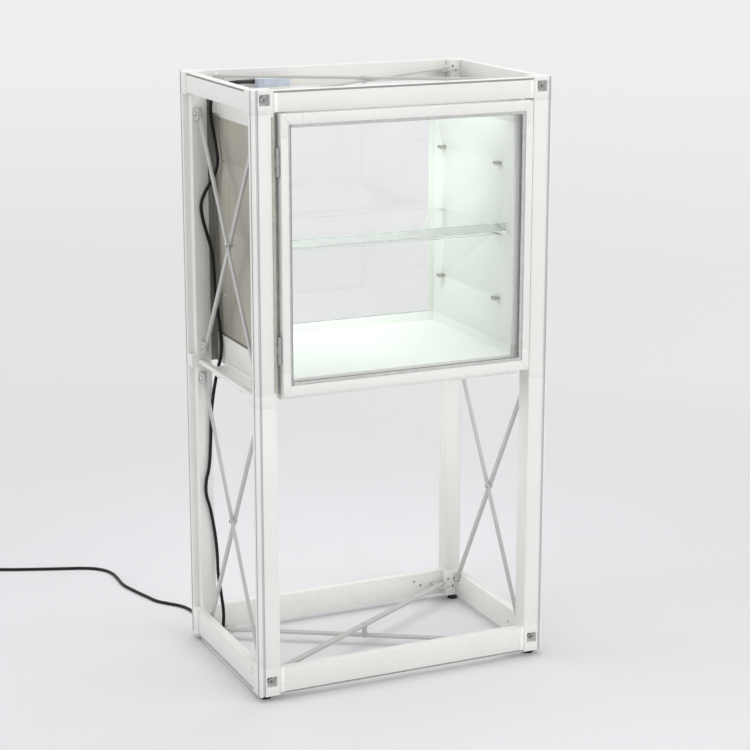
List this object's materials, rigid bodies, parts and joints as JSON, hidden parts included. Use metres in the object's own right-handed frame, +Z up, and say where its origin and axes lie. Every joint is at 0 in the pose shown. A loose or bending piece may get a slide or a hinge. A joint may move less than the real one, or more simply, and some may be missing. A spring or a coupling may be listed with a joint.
{
  "type": "pedestal display case",
  "caption": "White pedestal display case: open braced frame on levelling feet, with a lit glass case, a shelf and a hinged glass door in its upper half",
  "frame": {"origin": "on the floor, under the middle of the frame", "axes": "+Z up, front and door towards -Y, door hinged on its left side at -X"},
  "size_m": [1.0445, 1.044, 1.212],
  "materials": {
    "white_paint": "satin off-white paint on the frame, the case and the door",
    "steel": "bare steel bolts, clips and hinges",
    "clear_glass": "clear glass with a green edge",
    "diffuser": "opal light diffuser",
    "led": "pale light strip",
    "grey_seal": "grey rubber seal",
    "black_rubber": "black rubber cord",
    "black_plastic": "black moulded plastic",
    "pale_blue_plastic": "pale blue-grey plastic case",
    "grey_plastic": "grey strap"
  },
  "bodies": {
    "frame": {"lower_post_front_left": "white_paint", "lower_post_front_right": "white_paint", "lower_post_back_left": "white_paint", "lower_post_back_right": "white_paint", "upper_post_front_left": "white_paint", "upper_post_front_right": "white_paint", "upper_post_back_left": "white_paint", "upper_post_back_right": "white_paint", "bottom_corner_blocks": "white_paint", "middle_joint_blocks": "white_paint", "top_corner_blocks": "white_paint", "bottom_rail_front": "white_paint", "bottom_rail_back": "white_paint", "bottom_rail_left": "white_paint", "bottom_rail_right": "white_paint", "top_rail_front": "white_paint", "top_rail_back": "white_paint", "top_rail_left": "white_paint", "top_rail_right": "white_paint", "middle_bars": "white_paint", "lower_brace_left": "white_paint", "lower_brace_right": "white_paint", "upper_brace_left": "white_paint", "upper_brace_right": "white_paint", "bottom_brace": "white_paint", "top_brace": "white_paint", "brace_lugs": "white_paint", "brace_bolts": "steel", "corner_bolts": "steel", "case_brackets": "white_paint", "floor_pan": "white_paint", "side_panel_left": "white_paint", "side_panel_right": "white_paint", "back_glass": "clear_glass", "roof_housing": "white_paint", "light_diffuser": "diffuser", "led_strips": "led", "shelf_clips": "steel", "hinge_frame_leaves": "steel", "light_driver": "pale_blue_plastic", "cord_connector": "black_plastic", "cord_clip": "white_paint", "cord_tube": "black_rubber", "cord_coil": "black_rubber", "cord_tie": "grey_plastic", "plug": "black_plastic"},
    "door": {"door_stile_left": "white_paint", "door_stile_right": "white_paint", "door_rail_top": "white_paint", "door_rail_bottom": "white_paint", "door_corner_pieces": "white_paint", "door_glass": "clear_glass", "door_seal": "grey_seal", "hinge_door_leaves": "steel", "hinge_pins": "steel"},
    "shelf": {"glass_shelf": "clear_glass"},
    "foot_front_left": {"foot_front_left": "black_plastic"},
    "foot_front_right": {"foot_front_right": "black_plastic"},
    "foot_back_left": {"foot_back_left": "black_plastic"},
    "foot_back_right": {"foot_back_right": "black_plastic"}
  },
  "joints": [
    {"name": "door_hinge", "type": "hinge", "parent": "frame", "child": "door", "pos_m": [-0.2695, -0.21, 0.9], "axis": [0, 0, -1], "range_deg": [0, 110]},
    {"name": "shelf_lift", "type": "slide", "parent": "frame", "child": "shelf", "axis": [0, 0, 1], "range_m": [0, 0.1]},
    {"name": "foot_front_left_turn", "type": "hinge", "parent": "frame", "child": "foot_front_left", "pos_m": [-0.297, -0.178, 0.02], "axis": [0, 0, 1], "continuous": true},
    {"name": "foot_front_right_turn", "type": "hinge", "parent": "frame", "child": "foot_front_right", "pos_m": [0.297, -0.178, 0.02], "axis": [0, 0, 1], "continuous": true},
    {"name": "foot_back_left_turn", "type": "hinge", "parent": "frame", "child": "foot_back_left", "pos_m": [-0.297, 0.178, 0.02], "axis": [0, 0, 1], "continuous": true},
    {"name": "foot_back_right_turn", "type": "hinge", "parent": "frame", "child": "foot_back_right", "pos_m": [0.297, 0.178, 0.02], "axis": [0, 0, 1], "continuous": true}
  ]
}
